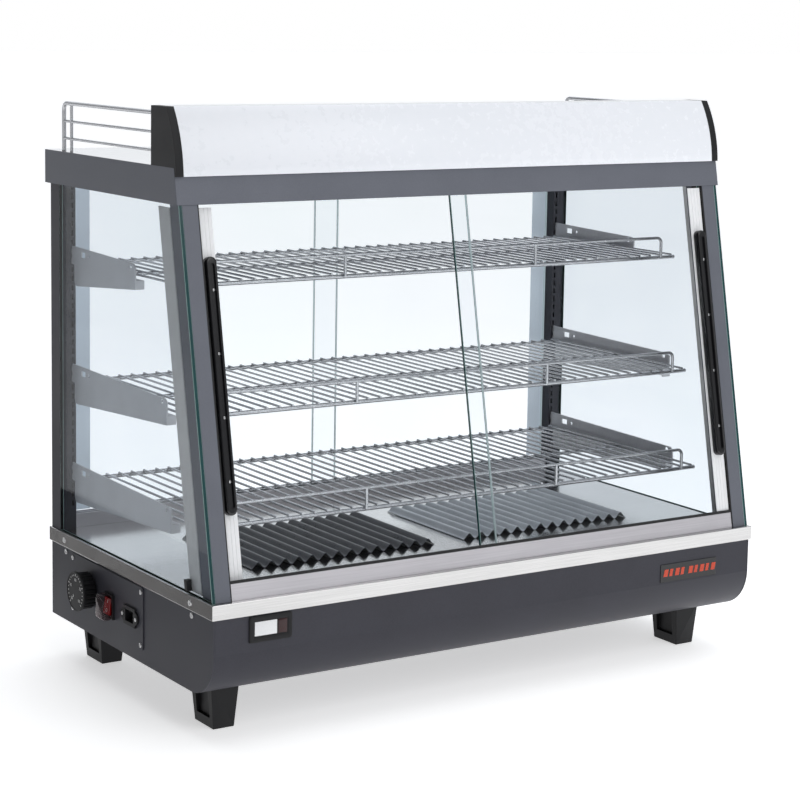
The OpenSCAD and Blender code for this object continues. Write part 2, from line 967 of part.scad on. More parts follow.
place() base_front_panel();
place() base_left_panel();
place() base_right_panel();
place() base_rear_panel();
place() base_bottom_plate();
place() foot(-foot_x, foot_ys[0]);  // front_left_foot
place() foot(foot_x, foot_ys[0]);  // front_right_foot
place() foot(-foot_x, foot_ys[1]);  // rear_left_foot
place() foot(foot_x, foot_ys[1]);  // rear_right_foot
place() floor_deck();
place() heating_elements();
place() terminal_block();
place() control_plate();
place() thermostat_body();
place() thermostat_knob();
place() power_switch_body();
place() power_rocker();
place() power_inlet();
place() thermometer_display();
place() badge_plate();
place() case_screws();
place() front_post(-1);  // front_left_post
place() front_post(1);  // front_right_post
place() rear_post(-1);  // rear_left_post
place() rear_post(1);  // rear_right_post
place() side_glass(-1);  // left_side_glass
place() side_glass(1);  // right_side_glass
place() front_bottom_track();
place() front_top_track();
place() rear_track(deck_z, deck_z + 20, false);  // rear_bottom_track
place() rear_track(canopy_z + 1, ceiling_z, true);  // rear_top_track
place() canopy_shell();
place() roof_panel();
place() hood_cap_part(-1);  // hood_left_cap
place() hood_cap_part(1);  // hood_right_cap
place() hood_sign_panel();
place() hood_back_plate();
place() hood_lamp_tube();
place() gallery(-1);  // left_gallery
place() gallery(1);  // right_gallery
place() shelf_brackets();
place() heater_cover(-1);  // left_heater_cover
place() heater_cover(1);  // right_heater_cover
place() front_left_door_glass();
place() front_left_door_stile();
place() front_left_door_handle();
place() front_right_door_glass();
place() front_right_door_stile();
place() front_right_door_handle();
place() rear_left_door_glass();
place() rear_left_door_stile();
place() rear_right_door_glass();
place() rear_right_door_stile();
place() shelf(0);  // bottom_shelf
place() shelf(1);  // middle_shelf
place() shelf(2);  // top_shelf
place() shelf_rail(0);  // bottom_shelf_rail
place() shelf_rail(1);  // middle_shelf_rail
place() shelf_rail(2);  // top_shelf_rail
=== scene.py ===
import math

import bmesh
import bpy
from mathutils import Matrix, Vector


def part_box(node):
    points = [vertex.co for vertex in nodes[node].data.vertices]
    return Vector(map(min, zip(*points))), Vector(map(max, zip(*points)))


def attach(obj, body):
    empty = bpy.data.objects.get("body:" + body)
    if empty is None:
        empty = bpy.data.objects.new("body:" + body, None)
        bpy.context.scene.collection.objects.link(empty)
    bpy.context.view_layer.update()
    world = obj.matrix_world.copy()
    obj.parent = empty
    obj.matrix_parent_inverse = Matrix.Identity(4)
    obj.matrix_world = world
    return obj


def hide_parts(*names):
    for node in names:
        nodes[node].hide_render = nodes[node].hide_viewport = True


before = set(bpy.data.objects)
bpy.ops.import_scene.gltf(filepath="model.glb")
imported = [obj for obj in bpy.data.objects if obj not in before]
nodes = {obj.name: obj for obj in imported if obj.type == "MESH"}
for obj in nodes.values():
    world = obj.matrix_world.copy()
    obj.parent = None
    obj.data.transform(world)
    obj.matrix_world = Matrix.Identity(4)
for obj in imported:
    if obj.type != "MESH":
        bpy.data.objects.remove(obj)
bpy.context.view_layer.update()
scene = bpy.context.scene
mm = 0.001

# every place below is in millimetres from the middle of the deck's front edge
deckLow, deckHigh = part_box("floor_deck")
caseOrigin = Vector(((deckLow.x + deckHigh.x) / 2, deckLow.y, 0))
front = {"lean": 0.1935, "footY": 7, "footZ": 191}
tilt = math.atan(front["lean"])


def at(x, y, z):
    return Vector((x, y, z)) * mm + caseOrigin


def onSlope(x, n, s):  # n behind the slanted face, s up along it
    y = front["footY"] + n * math.cos(tilt) + s * math.sin(tilt)
    z = front["footZ"] - n * math.sin(tilt) + s * math.cos(tilt)
    return at(x, y, z)


# ---- finishes

def toLinear(hexCode):
    parts = [int(hexCode[i:i + 2], 16) / 255 for i in (1, 3, 5)]
    return tuple(p / 12.92 if p <= 0.04045 else ((p + 0.055) / 1.055) ** 2.4 for p in parts) + (1.0,)


def addNode(tree, kind, settings=None, values=None, links=None):
    node = tree.nodes.new(kind)
    for key, value in (settings or {}).items():
        setattr(node, key, value)
    for key, value in (values or {}).items():
        node.inputs[key].default_value = value
    for key, source in (links or {}).items():
        tree.links.new(source, node.inputs[key])
    return node


def startFinish(name):
    finish = bpy.data.materials.new(name)
    finish.use_nodes = True
    finish.node_tree.nodes.clear()
    return finish, finish.node_tree


def mixColours(tree, first, second, share):
    colour = addNode(tree, "ShaderNodeMix", settings={"data_type": "RGBA"}, links={"Factor": share})
    colour.inputs[6].default_value = toLinear(first)  # 6 and 7 are the colour sockets of a mix node
    colour.inputs[7].default_value = toLinear(second)
    return colour


def grainedFinish(name, look):
    # one shader with fine grain, larger patches, grain relief and a roughness that follows the grain
    finish, tree = startFinish(name)
    place = addNode(tree, "ShaderNodeTexCoord")
    stretch = look.get("stretch", (1, 1, 1))
    spread = [1000 / (look["grainMm"] * s) for s in stretch]
    scaled = addNode(tree, "ShaderNodeMapping", values={"Scale": spread},
                     links={"Vector": place.outputs["Object"]})
    grain = addNode(tree, "ShaderNodeTexNoise", values={"Scale": 1.0, "Detail": 3.0, "Roughness": 0.6},
                    links={"Vector": scaled.outputs["Vector"]})
    patches = addNode(tree, "ShaderNodeTexNoise", values={"Scale": 1000 / look["patchMm"], "Detail": 4.0},
                      links={"Vector": place.outputs["Object"]})
    both = addNode(tree, "ShaderNodeMix", values={"Factor": look.get("patchShare", 0.5)},
                   links={"A": grain.outputs["Fac"], "B": patches.outputs["Fac"]})
    even = addNode(tree, "ShaderNodeMapRange", values={"From Min": 0.3, "From Max": 0.7},
                   links={"Value": both.outputs["Result"]})
    colour = mixColours(tree, look["dark"], look["light"], even.outputs["Result"])
    rough = addNode(tree, "ShaderNodeMapRange",
                    values={"From Min": 0.3, "From Max": 0.7,
                            "To Min": look["rough"][0], "To Max": look["rough"][1]},
                    links={"Value": both.outputs["Result"]})
    relief = addNode(tree, "ShaderNodeBump",
                     values={"Strength": look["relief"], "Distance": look["reliefMm"] * mm},
                     links={"Height": grain.outputs["Fac"]})
    shader = addNode(tree, "ShaderNodeBsdfPrincipled", values=look.get("shader", {}),
                     links={"Base Color": colour.outputs[2], "Roughness": rough.outputs["Result"],
                            "Normal": relief.outputs["Normal"]})
    addNode(tree, "ShaderNodeOutputMaterial", links={"Surface": shader.outputs["BSDF"]})
    return finish


finishLooks = {
    # sprayed and baked polyester powder on steel: dark, satin, with a faint orange peel
    "charcoalPowderCoat": {"light": "#3f3f47", "dark": "#34343b", "grainMm": 1.6, "patchMm": 90,
                           "rough": (0.42, 0.56), "reliefMm": 0.05, "relief": 0.35,
                           "shader": {"IOR": 1.5, "Specular IOR Level": 0.28}},
    # the same powder in mid grey, on the canopy and the front posts
    "greyPowderCoat": {"light": "#6d7079", "dark": "#62656e", "grainMm": 1.6, "patchMm": 80,
                       "rough": (0.4, 0.52), "reliefMm": 0.05, "relief": 0.3,
                       "shader": {"IOR": 1.5, "Specular IOR Level": 0.35}},
    # brushed along the width: long fine streaks, mirror-like across them
    "brushedStainless": {"light": "#d9d8d7", "dark": "#c0bfbe", "grainMm": 0.8, "patchMm": 160,
                         "stretch": (120, 1, 1), "rough": (0.1, 0.22), "reliefMm": 0.01, "relief": 0.15,
                         "patchShare": 0.25, "shader": {"Metallic": 1.0, "Anisotropic": 0.4}},
    # drawn and clear anodised: pale, even, with die lines along the length
    "anodisedAluminium": {"light": "#dad7db", "dark": "#c6c3c7", "grainMm": 0.7, "patchMm": 120,
                          "stretch": (200, 1, 1), "rough": (0.34, 0.46), "reliefMm": 0.01, "relief": 0.2,
                          "patchShare": 0.2, "shader": {"Metallic": 0.85}},
    # frosted polycarbonate of the rear pull strips: fine upright lines, and an emission that is a painted
    # glow to brighten them
    "frostedPullStripPaintedGlow": {"light": "#c6ced6", "dark": "#b3bbc3", "grainMm": 0.7, "patchMm": 120,
                         "stretch": (1, 1, 200), "rough": (0.34, 0.46), "reliefMm": 0.01, "relief": 0.2,
                         "patchShare": 0.2, "shader": {"IOR": 1.58, "Emission Color": toLinear("#b6c0ca"),
                                    "Emission Strength": 0.5}},
    # satin clear-coated strip on the front posts that clamps the side glass
    "satinClampStrip": {"light": "#dddcdb", "dark": "#c4c3c2", "grainMm": 0.7, "patchMm": 120,
                        "stretch": (1, 1, 60), "rough": (0.4, 0.55), "reliefMm": 0.01, "relief": 0.2,
                        "patchShare": 0.2, "shader": {"Metallic": 0.3}},
    # nickel-chrome plated wire: bright grey, with the soft waves of drawn wire
    "platedWire": {"light": "#d2d3d6", "dark": "#b0b1b5", "grainMm": 3, "patchMm": 40,
                   "rough": (0.16, 0.3), "reliefMm": 0.02, "relief": 0.2, "shader": {"Metallic": 0.8}},
    # zinc plated pressed steel of the shelf brackets
    "zincPlatedSteel": {"light": "#e2e2e5", "dark": "#c6c6ca", "grainMm": 2.4, "patchMm": 45,
                        "rough": (0.36, 0.52), "reliefMm": 0.02, "relief": 0.25,
                        "shader": {"Metallic": 0.1}},
    # heat resistant black enamel on corrugated steel, greyed by use
    "heatResistantEnamel": {"light": "#54565d", "dark": "#3a3c42", "grainMm": 1.4, "patchMm": 60,
                            "rough": (0.24, 0.38), "reliefMm": 0.04, "relief": 0.3,
                            "shader": {"IOR": 1.5}},
    # the right sheet, in a lighter grey than the left
    "lighterHeaterSteel": {"light": "#d2d6db", "dark": "#a3a8af", "grainMm": 1.4, "patchMm": 60,
                        "rough": (0.26, 0.42), "reliefMm": 0.04, "relief": 0.3,
                        "shader": {"Metallic": 0.5}},
    # alloy sheath of the heating elements, tinted by heat
    "heaterSheath": {"light": "#7b6a5a", "dark": "#4a4646", "grainMm": 3, "patchMm": 30,
                     "rough": (0.35, 0.55), "reliefMm": 0.02, "relief": 0.2, "shader": {"Metallic": 0.9}},
    # moulded ABS with a fine spark-eroded texture
    "texturedBlackPlastic": {"light": "#18181b", "dark": "#0f0f11", "grainMm": 0.9, "patchMm": 50,
                             "rough": (0.45, 0.6), "reliefMm": 0.04, "relief": 0.35,
                             "shader": {"IOR": 1.53, "Specular IOR Level": 0.3}},
    # polished ABS of the door handles and the badge plate
    "glossBlackPlastic": {"light": "#17171a", "dark": "#101012", "grainMm": 6, "patchMm": 70,
                          "rough": (0.14, 0.24), "reliefMm": 0.02, "relief": 0.15,
                          "shader": {"IOR": 1.53}},
    # EPDM seals: very dark and dull
    "blackRubber": {"light": "#1d1d1f", "dark": "#121214", "grainMm": 1.2, "patchMm": 30,
                    "rough": (0.6, 0.78), "reliefMm": 0.04, "relief": 0.3, "shader": {"IOR": 1.52}},
    # opal acrylic of the lit sign panel: milky, softly shining through
    "opalAcrylic": {"light": "#f2f4f9", "dark": "#eef1f6", "grainMm": 12, "patchMm": 260,
                    "rough": (0.22, 0.32), "reliefMm": 0.02, "relief": 0.08,
                    "shader": {"IOR": 1.49, "Emission Color": toLinear("#e9eef8"),
                               "Emission Strength": 0.03}},
    # extruded rigid PVC of the door edge strips
    "whitePvc": {"light": "#fafafb", "dark": "#eff0f2", "grainMm": 1.2, "patchMm": 60,
                 "stretch": (1, 1, 60), "rough": (0.3, 0.42), "reliefMm": 0.02, "relief": 0.2,
                 "shader": {"IOR": 1.53}},
    # white baked enamel: back plate of the hood, terminal block, light window of the display
    "whiteEnamel": {"light": "#f0f1f2", "dark": "#e4e5e7", "grainMm": 2, "patchMm": 90,
                    "rough": (0.32, 0.45), "reliefMm": 0.03, "relief": 0.2, "shader": {"IOR": 1.5}},
    # frosted glass of the lamp tube
    "frostedLamp": {"light": "#fdfdfb", "dark": "#f3f4f2", "grainMm": 4, "patchMm": 60,
                    "rough": (0.35, 0.45), "reliefMm": 0.01, "relief": 0.1,
                    "shader": {"Emission Color": toLinear("#fff8ec"), "Emission Strength": 0.6}},
    # nickel plated screw heads
    "nickelScrew": {"light": "#dadada", "dark": "#b4b4b6", "grainMm": 0.6, "patchMm": 6,
                    "rough": (0.2, 0.34), "reliefMm": 0.02, "relief": 0.25, "shader": {"Metallic": 1.0}},
    # translucent red polycarbonate of the rocker
    "redPolycarbonate": {"light": "#a81c1f", "dark": "#821216", "grainMm": 2, "patchMm": 14,
                         "rough": (0.16, 0.26), "reliefMm": 0.01, "relief": 0.15,
                         "shader": {"IOR": 1.58, "Emission Color": toLinear("#7a0c08"),
                                    "Emission Strength": 0.1}},
    # pad printed white marks
    "whitePrint": {"light": "#f4f4f2", "dark": "#dededc", "grainMm": 0.4, "patchMm": 8,
                   "rough": (0.5, 0.62), "reliefMm": 0.01, "relief": 0.2, "shader": {"IOR": 1.5}},
    # printed bars of the badge under a clear lacquer
    "orangeRedPrint": {"light": "#d8481f", "dark": "#b93212", "grainMm": 0.6, "patchMm": 12,
                       "rough": (0.25, 0.35), "reliefMm": 0.01, "relief": 0.15, "shader": {"IOR": 1.5}},
    # dark red window of the display
    "redFilterAcrylic": {"light": "#3a0b0d", "dark": "#230608", "grainMm": 2, "patchMm": 20,
                         "rough": (0.1, 0.16), "reliefMm": 0.01, "relief": 0.1, "shader": {"IOR": 1.49}},
    # low-iron pane edge, polished and nearly colourless, with an emission that is a painted highlight
    "paleGlassEdgePaintedGlow": {"light": "#c3cccd", "dark": "#9fabad", "grainMm": 1.2, "patchMm": 60,
                      "stretch": (1, 1, 30), "rough": (0.1, 0.2), "reliefMm": 0.01, "relief": 0.1,
                      "shader": {"IOR": 1.5, "Emission Color": toLinear("#aab6b9"),
                                 "Emission Strength": 0.5}},
    # green cast of the glass where one looks into its edge
    "greenGlassEdge": {"light": "#1c4a4a", "dark": "#0f3335", "grainMm": 1.2, "patchMm": 60,
                       "stretch": (1, 1, 30), "rough": (0.1, 0.2), "reliefMm": 0.02, "relief": 0.2,
                       "shader": {"IOR": 1.52}},
    # the ground arris along a glass edge: pale and matt
    "groundArris": {"light": "#a9c6c3", "dark": "#86aaa7", "grainMm": 0.5, "patchMm": 20,
                    "rough": (0.35, 0.5), "reliefMm": 0.02, "relief": 0.25, "shader": {"IOR": 1.52}},
}
finishes = {name: grainedFinish(name, look) for name, look in finishLooks.items()}


def glassFinish(name, tint, haze):
    # a thin clear sheet: almost clear from the front and mirror-like at a glance
    finish, tree = startFinish(name)
    place = addNode(tree, "ShaderNodeTexCoord")
    streaks = addNode(tree, "ShaderNodeTexNoise", values={"Scale": 5.0, "Detail": 3.0},
                      links={"Vector": place.outputs["Object"]})
    body = mixColours(tree, tint, haze, streaks.outputs["Fac"])
    clear = addNode(tree, "ShaderNodeBsdfTransparent", links={"Color": body.outputs[2]})
    gloss = addNode(tree, "ShaderNodeBsdfGlossy", values={"Roughness": 0.015, "Color": (1, 1, 1, 1)})
    glance = addNode(tree, "ShaderNodeLayerWeight", values={"Blend": 0.5})
    steep = addNode(tree, "ShaderNodeMath", settings={"operation": "POWER"}, values={1: 5.0},
                    links={0: glance.outputs["Facing"]})
    share = addNode(tree, "ShaderNodeMapRange", values={"To Min": 0.006, "To Max": 0.5},
                    links={"Value": steep.outputs[0]})
    mixed = addNode(tree, "ShaderNodeMixShader",
                    links={0: share.outputs["Result"], 1: clear.outputs[0], 2: gloss.outputs[0]})
    addNode(tree, "ShaderNodeOutputMaterial", links={"Surface": mixed.outputs[0]})
    return finish


clearLooks = {
    "toughenedGlass": ("#fdfdfe", "#fafcfc"),  # toughened float glass of the doors
    "toughenedSideGlass": ("#f4f6f8", "#eff2f4"),  # the same, a little greyer, of the sides
    "clearPvcCover": ("#efe9ea", "#e2d9da"),  # soft clear PVC over the switch
}
for clearName, (tint, haze) in clearLooks.items():
    finishes[clearName] = glassFinish(clearName, tint, haze)
print("finishes made:", len(finishes))


# ---- shared mesh steps

weldReach = 0.00002  # metres between points that are one


def makePiece(name, bm, finishNames, body, replaced=(), smoothUnder=35):
    mesh = bpy.data.meshes.new(name)
    bmesh.ops.recalc_face_normals(bm, faces=bm.faces)
    bm.to_mesh(mesh)
    bm.free()
    for finishName in finishNames:
        mesh.materials.append(finishes[finishName])
    mesh.polygons.foreach_set("use_smooth", [True] * len(mesh.polygons))
    mesh.set_sharp_from_angle(angle=math.radians(smoothUnder))
    piece = bpy.data.objects.new(name, mesh)
    scene.collection.objects.link(piece)
    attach(piece, body)
    if replaced:
        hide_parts(*replaced)
    return piece


def addPrism(bm, outline, start, end, finishIndex=0):
    # outline is a closed list of points; start and end turn each one into a place
    a = [bm.verts.new(start(p)) for p in outline]
    b = [bm.verts.new(end(p)) for p in outline]
    made = [bm.faces.new(a), bm.faces.new(list(reversed(b)))]
    for i in range(len(outline)):
        j = (i + 1) % len(outline)
        made.append(bm.faces.new((a[j], a[i], b[i], b[j])))
    for face in made:
        face.material_index = finishIndex
    return a, b


def addBox(bm, low, high, round_=0.0, finishIndex=0, steps=2):
    # a box between two corners in metres, its edges rounded
    corners = [bm.verts.new((low[0] if i & 1 == 0 else high[0], low[1] if i & 2 == 0 else high[1],
                             low[2] if i & 4 == 0 else high[2])) for i in range(8)]
    faces = [bm.faces.new([corners[i] for i in ring]) for ring in
             ((0, 2, 3, 1), (4, 5, 7, 6), (0, 1, 5, 4), (2, 6, 7, 3), (0, 4, 6, 2), (1, 3, 7, 5))]
    for face in faces:
        face.material_index = finishIndex
    if round_:
        edges = list({edge for face in faces for edge in face.edges})
        bmesh.ops.bevel(bm, geom=edges, offset=round_, segments=steps, affect="EDGES", profile=0.5,
                        material=-1)


def addTurned(bm, centre, axis, profile, steps=32, finishIndex=0):
    # a turned shape: profile lists distance along the axis, radius, number and depth of flutes
    axis = Vector(axis).normalized()
    side = axis.orthogonal().normalized()
    other = axis.cross(side)
    rings = []
    for along, radius, *flute in profile:
        middle = centre + axis * along * mm
        if radius <= 0:
            rings.append([bm.verts.new(middle)])
            continue
        ring = []
        for i in range(steps):
            t = 2 * math.pi * i / steps
            wave = flute[1] * max(0, math.cos(flute[0] * t)) ** 2 if flute else 0
            spoke = side * math.cos(t) + other * math.sin(t)
            ring.append(bm.verts.new(middle + spoke * (radius - wave) * mm))
        rings.append(ring)
    for near, far in zip(rings, rings[1:]):
        for i in range(steps):
            j = (i + 1) % steps
            corners = [near[i % len(near)], near[j % len(near)], far[j % len(far)], far[i % len(far)]]
            unique = list(dict.fromkeys(corners))
            if len(unique) > 2:
                bm.faces.new(unique).material_index = finishIndex


def addPanHead(bm, seat, outward, diameter, height, finishIndex=0, turn=0.6):
    # a pan-head screw: domed head with a cross pressed into it, sizes in millimetres
    axis = Vector(outward).normalized()
    side = Matrix.Rotation(turn, 3, axis) @ axis.orthogonal().normalized()
    other = axis.cross(side)
    steps, rows = 32, 8
    half = diameter / 2
    crossHalf, crossLong = 0.13 * half * 1.15, 0.58 * half
    rings = [[bm.verts.new(seat + (side * math.cos(t) + other * math.sin(t)) * half * mm)
              for t in (2 * math.pi * i / steps for i in range(steps))]]
    for row in range(rows):
        share = 1 - row / rows
        radius = half * (0.97 * share)
        ring = []
        for i in range(steps):
            t = 2 * math.pi * i / steps
            x, y = radius * math.cos(t), radius * math.sin(t)
            rise = height * (0.62 + 0.38 * math.sqrt(max(0, 1 - share * share)))
            inCross = min(abs(x), abs(y)) < crossHalf and max(abs(x), abs(y)) < crossLong
            rise -= 0.5 * height if inCross else 0
            ring.append(bm.verts.new(seat + (side * x + other * y + axis * rise) * mm))
        rings.append(ring)
    for near, far in zip(rings, rings[1:]):
        for i in range(steps):
            j = (i + 1) % steps
            bm.faces.new((near[i], near[j], far[j], far[i])).material_index = finishIndex
    bm.faces.new(rings[-1]).material_index = finishIndex


def softenEdges(node, widthMm, steps=2):
    # sheet and moulded edges are never razor sharp
    weld = node.modifiers.new("Weld", "WELD")
    weld.merge_threshold = weldReach
    bevel = node.modifiers.new("Edge", "BEVEL")
    bevel.width = widthMm * mm
    bevel.segments = steps
    bevel.limit_method = "ANGLE"
    bevel.angle_limit = math.radians(35)
    bevel.use_clamp_overlap = True
    bevel.harden_normals = False


# ---- CAD parts that stay as they are, with their finish and the round of their edges in millimetres
carried = {
    "base_front_panel": ("charcoalPowderCoat", 0.6), "base_left_panel": ("charcoalPowderCoat", 0.6),
    "base_right_panel": ("charcoalPowderCoat", 0.6), "base_rear_panel": ("charcoalPowderCoat", 0.4),
    "base_bottom_plate": ("charcoalPowderCoat", 0.4),
    "front_left_foot": ("texturedBlackPlastic", 1.2), "front_right_foot": ("texturedBlackPlastic", 1.2),
    "rear_left_foot": ("texturedBlackPlastic", 1.2), "rear_right_foot": ("texturedBlackPlastic", 1.2),
    "floor_deck": ("brushedStainless", 0.8), "heating_elements": ("heaterSheath", 0),
    "terminal_block": ("whiteEnamel", 0.4), "control_plate": ("charcoalPowderCoat", 0.3),
    "thermostat_body": ("texturedBlackPlastic", 0.3), "thermostat_knob": ("texturedBlackPlastic", 0.5),
    "power_switch_body": ("texturedBlackPlastic", 0.5), "power_rocker": ("redPolycarbonate", 0.6),
    "power_inlet": ("texturedBlackPlastic", 0.5), "thermometer_display": ("texturedBlackPlastic", 0.6),
    "badge_plate": ("glossBlackPlastic", 0.3),
    "front_left_post": ("greyPowderCoat", 0.5), "front_right_post": ("greyPowderCoat", 0.5),
    "rear_left_post": ("charcoalPowderCoat", 0.4), "rear_right_post": ("charcoalPowderCoat", 0.4),
    "front_bottom_track": ("anodisedAluminium", 0.3), "front_top_track": ("anodisedAluminium", 0.3),
    "rear_bottom_track": ("anodisedAluminium", 0.3), "rear_top_track": ("anodisedAluminium", 0.3),
    "canopy_shell": ("greyPowderCoat", 0.8), "roof_panel": ("brushedStainless", 0.3),
    "hood_left_cap": ("texturedBlackPlastic", 0.8), "hood_right_cap": ("texturedBlackPlastic", 0.8),
    "hood_sign_panel": ("opalAcrylic", 0.4), "hood_back_plate": ("whiteEnamel", 0.4),
    "hood_lamp_tube": ("frostedLamp", 0),
    "left_gallery": ("platedWire", 0), "right_gallery": ("platedWire", 0),
    "shelf_brackets": ("zincPlatedSteel", 0.3),
    "bottom_shelf": ("platedWire", 0), "middle_shelf": ("platedWire", 0), "top_shelf": ("platedWire", 0),
    "bottom_shelf_rail": ("platedWire", 0), "middle_shelf_rail": ("platedWire", 0),
    "top_shelf_rail": ("platedWire", 0),
}
for nodeName, (finishName, roundMm) in carried.items():
    node = nodes[nodeName]
    node.data.materials.clear()
    node.data.materials.append(finishes[finishName])
    node.data.polygons.foreach_set("material_index", [0] * len(node.data.polygons))
    if roundMm:
        softenEdges(node, roundMm)
# the satin strip that clamps the side glass is the back of each front post
clampFrom = 36.5  # millimetres behind the slanted face
for postName in ("front_left_post", "front_right_post"):
    post = nodes[postName]
    post.data.materials.append(finishes["satinClampStrip"])
    for face in post.data.polygons:
        middle = (face.center - caseOrigin) / mm
        behind = (middle.y - front["footY"]) * math.cos(tilt) - (middle.z - front["footZ"]) * math.sin(tilt)
        face.material_index = 1 if behind > clampFrom else 0
print("CAD parts finished:", len(carried))


# ---- glass panes: polished faces, green edges or pale edges with a painted glow, ground arris
# these panes get the pale edge with its painted glow
glowPaintedPanes = ("rear_left_door_glass", "rear_right_door_glass", "front_left_door_glass")
panes = {
    "left_side_glass": "case", "right_side_glass": "case",
    "front_left_door_glass": "front_left_door", "front_right_door_glass": "front_right_door",
    "rear_left_door_glass": "rear_left_door", "rear_right_door_glass": "rear_right_door",
}
paneEdge = {"arrisMm": 0.45, "flatAngle": 0.02, "faceShare": 0.5}
for nodeName, body in panes.items():
    bm = bmesh.new()
    bm.from_mesh(nodes[nodeName].data)
    bmesh.ops.remove_doubles(bm, verts=bm.verts, dist=weldReach)
    bmesh.ops.dissolve_limit(bm, angle_limit=paneEdge["flatAngle"], verts=bm.verts, edges=bm.edges)
    largest = max(face.calc_area() for face in bm.faces)
    for face in bm.faces:
        face.material_index = 0 if face.calc_area() > paneEdge["faceShare"] * largest else 1
    bmesh.ops.bevel(bm, geom=list(bm.edges), offset=paneEdge["arrisMm"] * mm, segments=1, affect="EDGES",
                    profile=0.5, material=2)
    clear = "toughenedSideGlass" if body == "case" else "toughenedGlass"
    edging = "paleGlassEdgePaintedGlow" if nodeName in glowPaintedPanes else "greenGlassEdge"
    makePiece(nodeName.replace("_glass", "_pane"), bm, (clear, edging, "groundArris"), body,
              (nodeName,), smoothUnder=20)
print("glass panes made:", len(panes))


# ---- rear door pull strips, bedded a little into the glass they are bonded to
pullStrip = {"bedded": 0.3, "round": 0.4}
for side in ("left", "right"):
    strip = nodes[f"rear_{side}_door_stile"]
    corners = [strip.matrix_world @ vert.co for vert in strip.data.vertices]
    low = Vector([min(corner[k] for corner in corners) for k in range(3)])
    high = Vector([max(corner[k] for corner in corners) for k in range(3)])
    low.y -= pullStrip["bedded"] * mm
    bm = bmesh.new()
    addBox(bm, low, high, pullStrip["round"] * mm)
    # the strips' finish carries a painted glow that brightens them
    makePiece(f"rear_{side}_pull_strip", bm, ("frostedPullStripPaintedGlow",), f"rear_{side}_door",
              (f"rear_{side}_door_stile",), smoothUnder=20)


# ---- front door edge strips with their fine grooves
edgeStrip = {"width": 23, "thick": 1.0, "lowS": 24, "highS": 502.4, "grooves": (6, 11.5, 17),
             "grooveWide": 0.8, "grooveDeep": 0.6, "chamfer": 0.4, "chamferFrom": 0.6}
doorEnd = 417  # from the case's middle to the outer end of a closed front door
doors = {"left": {"side": -1, "depth": 13}, "right": {"side": 1, "depth": 4}}
for doorName, door in doors.items():
    shoulder = edgeStrip["thick"] * edgeStrip["chamferFrom"]
    outline = [(0, 0), (0, shoulder), (edgeStrip["chamfer"], edgeStrip["thick"])]
    for groove in edgeStrip["grooves"]:
        halfWide = edgeStrip["grooveWide"] / 2
        outline += [(groove - halfWide, edgeStrip["thick"]),
                    (groove, edgeStrip["thick"] - edgeStrip["grooveDeep"]),
                    (groove + halfWide, edgeStrip["thick"])]
    outline += [(edgeStrip["width"] - edgeStrip["chamfer"], edgeStrip["thick"]),
                (edgeStrip["width"], shoulder), (edgeStrip["width"], 0)]
    bm = bmesh.new()
    addPrism(bm, outline,
             lambda p: onSlope(door["side"] * (doorEnd - p[0]), door["depth"] - p[1], edgeStrip["lowS"]),
             lambda p: onSlope(door["side"] * (doorEnd - p[0]), door["depth"] - p[1], edgeStrip["highS"]))
    makePiece(f"front_{doorName}_edge_strip", bm, ("whitePvc",), f"front_{doorName}_door",
              (f"front_{doorName}_door_stile",), smoothUnder=15)


# ---- door handles: a stadium shape with rounded shoulders and a finger groove
handle = {"centre": 405.5, "width": 16, "length": 332, "lowS": 107, "deep": 10, "grooveShift": 1,
          "grooveHalf": 3, "grooveDeep": 3, "grooveEnd": 9, "sunk": 1, "screwPitch": 82,
          "screwWide": 3.6, "screwHigh": 1.2, "endSteps": 14}


def stadium(halfWide, halfLong, shift=0.0):
    points = []
    straight = halfLong - halfWide
    for end in (1, -1):
        for i in range(handle["endSteps"] + 1):
            t = math.pi * i / handle["endSteps"] + (0 if end > 0 else math.pi)
            points.append((shift + halfWide * math.cos(t), end * straight + halfWide * math.sin(t)))
    return points


for doorName, door in doors.items():
    middleS = handle["lowS"] + handle["length"] / 2
    face = door["depth"] - handle["sunk"]
    deep = handle["deep"]
    grooveFloor = deep - handle["grooveDeep"]
    halfWide, halfLong = handle["width"] / 2, handle["length"] / 2
    levels = [(0, 0), (0, 7.2), (0.35, 8.6), (1.1, 9.5), (2.2, 9.95), (3.2, deep)]  # inset and rise
    bm = bmesh.new()
    loops = []
    for inset, rise in levels:
        loops.append([bm.verts.new(onSlope(door["side"] * handle["centre"] + u, face - rise, middleS + v))
                      for u, v in stadium(halfWide - inset, halfLong - inset)])
    grooveLevels = [(0, deep), (0.3, 9.5), (0.5, grooveFloor + 0.5), (0.9, grooveFloor)]
    grooveLong = halfLong - handle["grooveEnd"]
    for inset, rise in grooveLevels:
        loops.append([bm.verts.new(onSlope(door["side"] * handle["centre"] + u, face - rise, middleS + v))
                      for u, v in stadium(handle["grooveHalf"] - inset, grooveLong - inset,
                                          handle["grooveShift"])])
    for near, far in zip(loops, loops[1:]):
        for i in range(len(near)):
            j = (i + 1) % len(near)
            bm.faces.new((near[i], near[j], far[j], far[i]))
    bm.faces.new(loops[-1])
    bm.faces.new(list(reversed(loops[0])))
    makePiece(f"front_{doorName}_handle_moulding", bm, ("glossBlackPlastic",), f"front_{doorName}_door",
              (f"front_{doorName}_door_handle",), smoothUnder=50)
    bm = bmesh.new()
    outward = onSlope(0, -1, 0) - onSlope(0, 0, 0)
    for k in (-1.5, -0.5, 0.5, 1.5):
        seat = onSlope(door["side"] * handle["centre"] + handle["grooveShift"], face - grooveFloor,
                       middleS + k * handle["screwPitch"])
        addPanHead(bm, seat, outward, handle["screwWide"], handle["screwHigh"])
    makePiece(f"front_{doorName}_handle_screws", bm, ("nickelScrew",), f"front_{doorName}_door")
print("door strips and handles made")


